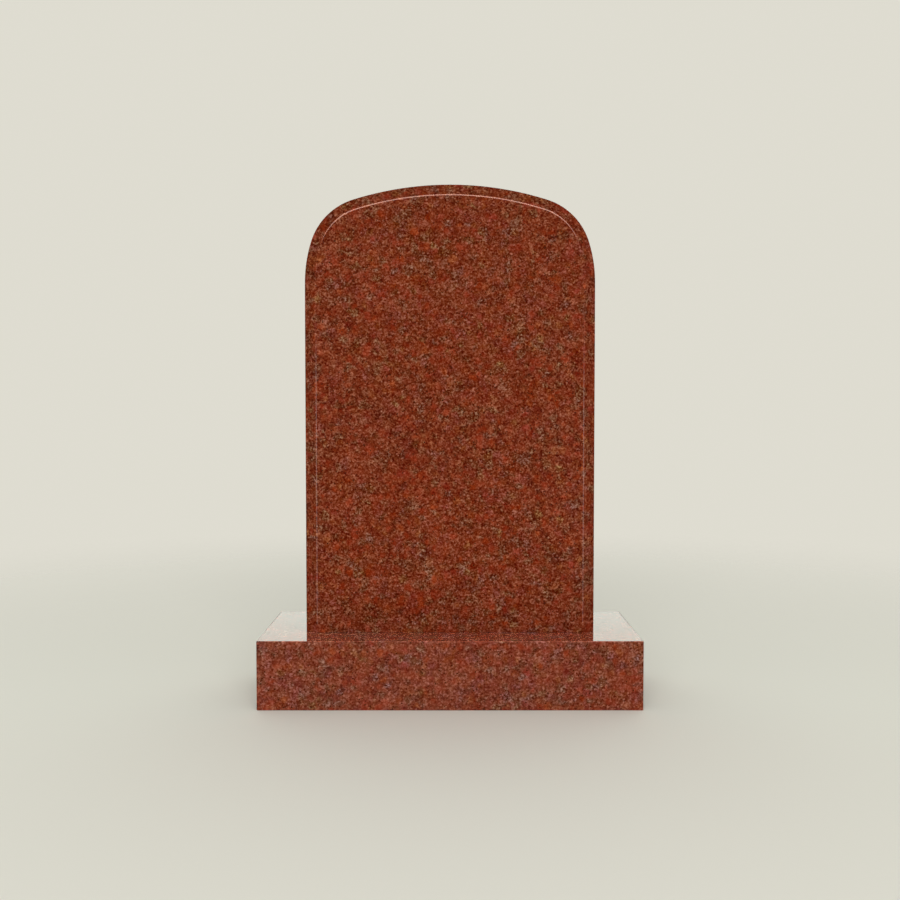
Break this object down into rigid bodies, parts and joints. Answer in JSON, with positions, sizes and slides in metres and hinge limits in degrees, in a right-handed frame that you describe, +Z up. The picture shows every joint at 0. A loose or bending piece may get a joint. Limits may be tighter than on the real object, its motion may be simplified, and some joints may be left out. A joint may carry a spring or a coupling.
{
  "type": "round top headstone",
  "caption": "Upright polished red granite headstone with a flattened round top and a chamfered front edge, standing on a plain rectangular granite base.",
  "frame": {"origin": "bottom centre of the base, on the surface that the headstone stands on", "axes": "+Z up, -Y towards the front of the stone, +X to the right as seen from the front"},
  "size_m": [0.61, 0.24, 0.8383],
  "materials": {
    "tablet_granite": "polished",
    "base_granite": "polished"
  },
  "bodies": {
    "root": {"tablet": "tablet_granite", "base": "base_granite"}
  },
  "joints": []
}
